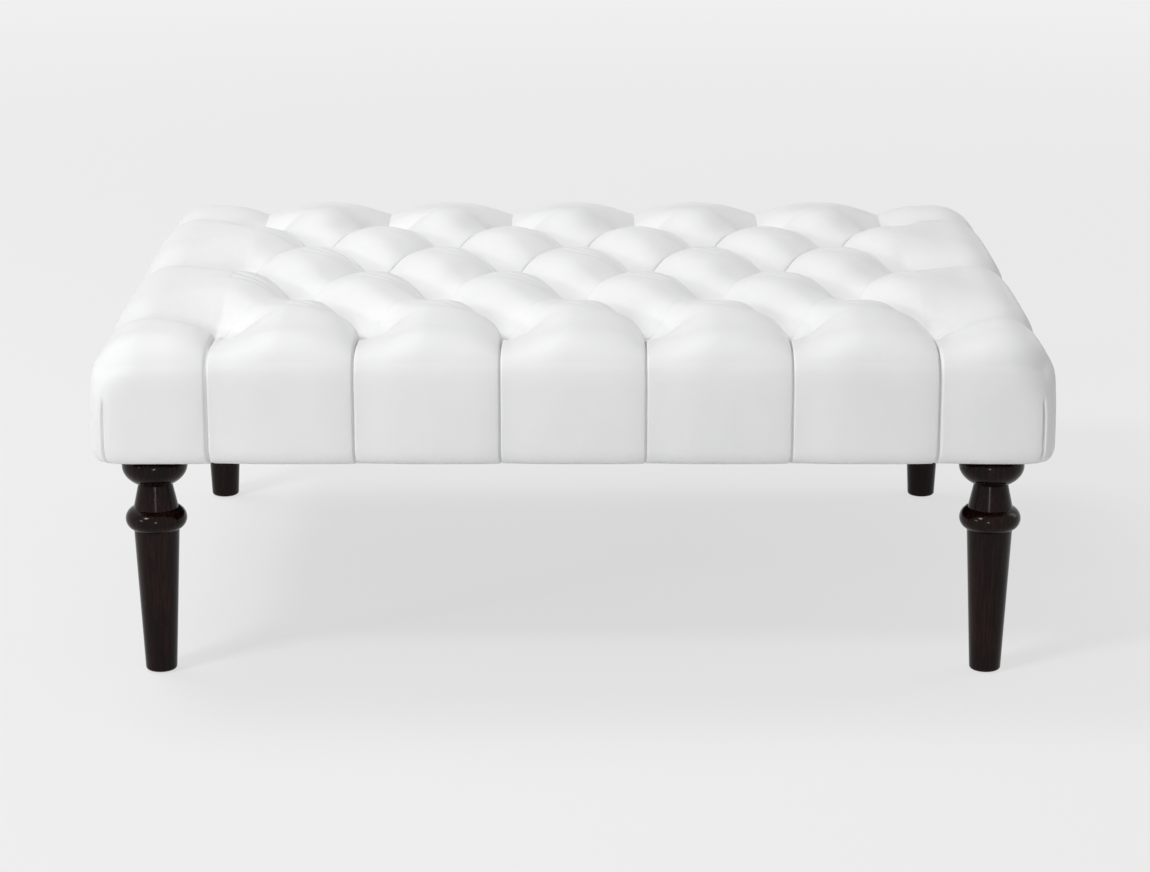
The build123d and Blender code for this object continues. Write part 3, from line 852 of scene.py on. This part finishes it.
def add_staple(mesh, middle, turn):
    """A staple's crown under the cloth, bent up at both ends where its legs go in."""
    half = STAPLE_CROWN / 2
    path = [(-half, STAPLE_BEND), (-half, 0), (-half + STAPLE_BEND, -STAPLE_HEIGHT)]
    path += [(-x, z) for x, z in path[::-1]]
    direction = Vector((math.cos(turn), math.sin(turn), 0))
    side = Vector((-math.sin(turn), math.cos(turn), 0)) * STAPLE_WIDTH / 2
    rings = []
    for x, z in path:
        outward = -direction * math.copysign(STAPLE_HEIGHT, x)
        if abs(x) < half:
            outward = Vector((0, 0, STAPLE_HEIGHT))
        point = Vector(middle) + direction * x + Vector((0, 0, z))
        corners = (point - side, point + side, point + side + outward, point - side + outward)
        rings.append([mesh.verts.new(corner) for corner in corners])
    for first, second in zip(rings, rings[1:]):
        for k in range(4):
            mesh.faces.new((first[k], first[(k + 1) % 4], second[(k + 1) % 4], second[k]))
    mesh.faces.new(rings[0][::-1])
    mesh.faces.new(rings[-1])


def build_staples():
    mesh = bmesh.new()
    for middle, turn in staple_places():
        add_staple(mesh, middle, turn)
    bmesh.ops.recalc_face_normals(mesh, faces=mesh.faces)
    data = bpy.data.meshes.new("dust_cover_staples")
    mesh.to_mesh(data)
    mesh.free()
    staples = bpy.data.objects.new("dust_cover_staples", data)
    bpy.context.scene.collection.objects.link(staples)
    return staples


staples = build_staples()
staples.data.materials.append(zinc)
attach(staples, "root")

# Stage

FLOOR_HALF_SIZE = 30.0
FLOOR_GREY = 0.82

# How bright the floor is seen, and what share of that is shown, from near the object to far from it
FLOOR_GLOW = 0.885
FLOOR_GLOW_SHARES = (0.74, 0.97)
FLOOR_GLOW_RUN = (1.3, 5.5)

# How bright the surround is seen, and how strongly it lights
SURROUND_GREY = 0.835
AMBIENT = 0.27

# Lamps: the place, the height of the point on the middle axis that it faces, its size and its power
LAMPS = {
    "key": ((-4.0, -4.0, 5.6), 0.35, (1.3, 1.3), 201),
    "overhead": ((-2.0, 1.2, 4.5), 0.35, (2.1, 2.1), 88),
    "right": ((2.8, 0.7, 1.6), 0.3, (1.0, 1.6), 10),
    "spot_left": ((-4.54, -3.32, 2.03), 0.2, (0.38, 0.38), 36),
    "spot_front": ((-0.25, -3.6, 0.9), 0.2, (0.2, 0.2), 11.5),
}


def directly_seen(add):
    """A value of 1 for what the camera sees, also in a shiny face or through a clear one."""
    path = add("ShaderNodeLightPath").node
    seen = path.outputs["Is Camera Ray"]
    for name in ("Is Glossy Ray", "Is Transmission Ray"):
        seen = calculate(add, "MAXIMUM", seen, path.outputs[name])
    return seen


def floor_material():
    """A pale floor that keeps the object's shadow and is seen a little brighter than it is lit."""
    material = bpy.data.materials.new("floor")
    material.use_nodes = True
    nodes = material.node_tree.nodes
    nodes.remove(nodes["Principled BSDF"])
    add = node_maker(material.node_tree)
    diffuse = add("ShaderNodeBsdfDiffuse", Color=grey(FLOOR_GREY))
    glow = add("ShaderNodeEmission", Color=grey(FLOOR_GLOW))
    settings = {"operation": "LENGTH"}
    distance = add("ShaderNodeVectorMath", settings, n0=object_place(add)).node.outputs["Value"]
    start, end = FLOOR_GLOW_RUN
    least, most = FLOOR_GLOW_SHARES
    limits = {"From_Min": start, "From_Max": end, "To_Min": least, "To_Max": most}
    outward = add("ShaderNodeMapRange", Value=distance, **limits)
    share = calculate(add, "MULTIPLY", directly_seen(add), outward)
    mixed = add("ShaderNodeMixShader", n0=share, n1=diffuse, n2=glow)
    feed(nodes["Material Output"], "Surface", mixed)
    return material


def build_floor():
    mesh = bpy.data.meshes.new("floor")
    size = FLOOR_HALF_SIZE
    corners = [(-size, -size, 0), (size, -size, 0), (size, size, 0), (-size, size, 0)]
    mesh.from_pydata(corners, [], [(0, 1, 2, 3)])
    floor = bpy.data.objects.new("floor", mesh)
    mesh.materials.append(floor_material())
    bpy.context.scene.collection.objects.link(floor)


def area_light(name, place, target_height, size, power):
    data = bpy.data.lights.new(name, "AREA")
    data.shape = "RECTANGLE"
    data.size, data.size_y = size
    data.energy = power
    light = bpy.data.objects.new(name, data)
    light.location = place
    toward = Vector((0, 0, target_height)) - Vector(place)
    light.rotation_euler = toward.to_track_quat("-Z", "Y").to_euler()
    bpy.context.scene.collection.objects.link(light)


def build_camera():
    data = bpy.data.cameras.new("camera")
    data.sensor_width = SENSOR_WIDTH_MM
    data.lens = SENSOR_WIDTH_MM * FOCAL_PIXELS / PHOTO_WIDTH
    data.shift_x = (PHOTO_WIDTH / 2 - AXIS_PIXEL_X) / PHOTO_WIDTH
    data.shift_y = CAMERA_SHIFT_Y
    data.clip_end = CLIP_END
    camera = bpy.data.objects.new("camera", data)
    camera.location = (0, -CAMERA_DISTANCE, CAMERA_HEIGHT)
    camera.rotation_euler = (math.pi / 2 - CAMERA_PITCH, 0, 0)
    bpy.context.scene.collection.objects.link(camera)
    bpy.context.scene.camera = camera


def build_world():
    """An even pale surround, which also lights the object more softly than it looks."""
    world = bpy.data.worlds.new("surround")
    bpy.context.scene.world = world
    world.use_nodes = True
    nodes = world.node_tree.nodes
    seen = nodes["Background"]
    seen.inputs["Color"].default_value = grey(SURROUND_GREY)
    add = node_maker(world.node_tree)
    ambient = add("ShaderNodeBackground", Color=grey(1), Strength=AMBIENT)
    mixed = add("ShaderNodeMixShader", n0=directly_seen(add), n1=ambient, n2=seen.outputs[0])
    feed(nodes["World Output"], "Surface", mixed)


build_floor()
build_camera()
for name, lamp in LAMPS.items():
    area_light(name, *lamp)
build_world()
bpy.context.scene.view_settings.view_transform = "Standard"
